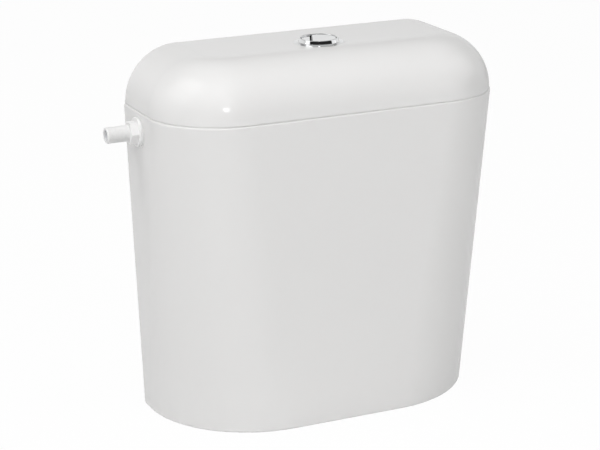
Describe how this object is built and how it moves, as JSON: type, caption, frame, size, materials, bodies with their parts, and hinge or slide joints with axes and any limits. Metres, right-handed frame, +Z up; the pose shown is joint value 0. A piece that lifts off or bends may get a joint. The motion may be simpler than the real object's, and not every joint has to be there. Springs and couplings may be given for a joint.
{
  "type": "toilet cistern",
  "caption": "Exposed wall-hung toilet cistern: D-plan tapered plastic tank, domed lift-off lid, two-part round push button, side inlet float valve and dual flush valve.",
  "frame": {"origin": "on the wall plane, midway between the two sides, at the height of the tank's base rim", "axes": "+X to the viewer's right facing the front, +Y into the wall, +Z up"},
  "size_m": [0.4164, 0.152, 0.3946],
  "materials": {
    "shell_white": "gloss moulded plastic, neutral white",
    "port_white": "semi-gloss moulded plastic, white, threaded",
    "valve_white": "satin moulded plastic, natural white",
    "valve_grey": "satin moulded plastic, mid grey",
    "valve_blue": "satin moulded plastic, blue",
    "rod_brass": "turned brass, threaded",
    "chrome": "bright chrome plate",
    "rubber_black": "matt black rubber",
    "steel": "plain stainless steel"
  },
  "bodies": {
    "tank": {"tank_body": "shell_white", "blanking_plug": "port_white", "blanking_washer": "rubber_black", "blanking_nut": "port_white", "fill_valve_body": "port_white", "inlet_washer": "rubber_black", "inlet_lock_nut": "port_white", "inlet_filter": "valve_blue", "fill_valve_diaphragm": "rubber_black", "fill_valve_cap": "valve_white", "float_arm_pin": "steel", "refill_tube": "valve_white", "outlet_seat": "valve_white", "outlet_seat_washer": "rubber_black", "outlet_lock_nut": "valve_white", "valve_cage": "valve_white", "actuator_bridge": "valve_grey", "lever_pin": "steel"},
    "lid": {"lid": "shell_white", "button_bezel": "chrome", "bezel_washer": "rubber_black", "bezel_nut": "valve_white", "button_guide": "valve_white", "large_button_spring": "steel", "small_button_spring": "steel"},
    "large_button": {"large_button": "chrome", "large_push_rod": "rod_brass"},
    "small_button": {"small_button": "chrome", "small_push_rod": "rod_brass"},
    "large_lever": {"large_lever": "valve_blue"},
    "small_lever": {"small_lever": "valve_blue"},
    "valve_stem": {"overflow_tube": "valve_white", "valve_seal": "rubber_black", "seal_retainer": "valve_grey", "full_flush_float": "valve_white"},
    "half_float": {"half_flush_link": "valve_grey", "half_flush_float": "valve_white"},
    "float_arm": {"float_arm": "valve_grey", "float_rod": "rod_brass", "float_rod_nut": "valve_grey", "float_cup": "valve_white"},
    "plunger": {"valve_plunger": "valve_blue"}
  },
  "joints": [
    {"name": "lid_lift", "type": "slide", "parent": "tank", "child": "lid", "axis": [0, 0, 1], "range_m": [0, 0.12]},
    {"name": "large_button_press", "type": "slide", "parent": "lid", "child": "large_button", "axis": [0, 0, -1], "range_m": [0, 0.006], "stiffness_N_per_m": 900, "springref_m": -0.004, "deforming": ["large_button_spring"]},
    {"name": "small_button_press", "type": "slide", "parent": "lid", "child": "small_button", "axis": [0, 0, -1], "range_m": [0, 0.005], "stiffness_N_per_m": 900, "springref_m": -0.004, "deforming": ["small_button_spring"]},
    {"name": "large_lever_turn", "type": "hinge", "parent": "tank", "child": "large_lever", "pos_m": [0, -0.068, 0.306], "axis": [1, 0, 0], "range_deg": [0, 24.1]},
    {"name": "small_lever_turn", "type": "hinge", "parent": "tank", "child": "small_lever", "pos_m": [0, -0.068, 0.306], "axis": [1, 0, 0], "range_deg": [0, 28.9]},
    {"name": "valve_stem_lift", "type": "slide", "parent": "tank", "child": "valve_stem", "axis": [0, 0, 1], "range_m": [0, 0.0082]},
    {"name": "half_float_lift", "type": "slide", "parent": "tank", "child": "half_float", "axis": [0, 0, 1], "range_m": [0, 0.0099]},
    {"name": "float_arm_swing", "type": "hinge", "parent": "tank", "child": "float_arm", "pos_m": [-0.13, -0.043, 0.298], "axis": [0, -1, 0], "range_deg": [0, 15]},
    {"name": "plunger_slide", "type": "slide", "parent": "tank", "child": "plunger", "axis": [-1, 0, 0], "range_m": [0, 0.0032]}
  ],
  "couplings": [
    {"joint": "large_lever_turn", "follows": "large_button_press", "rad_per_m": 69.92},
    {"joint": "valve_stem_lift", "follows": "large_button_press", "ratio": 1.352},
    {"joint": "small_lever_turn", "follows": "small_button_press", "rad_per_m": 100.56},
    {"joint": "half_float_lift", "follows": "small_button_press", "ratio": 1.9576},
    {"joint": "plunger_slide", "follows": "float_arm_swing", "m_per_rad": 0.01203}
  ]
}
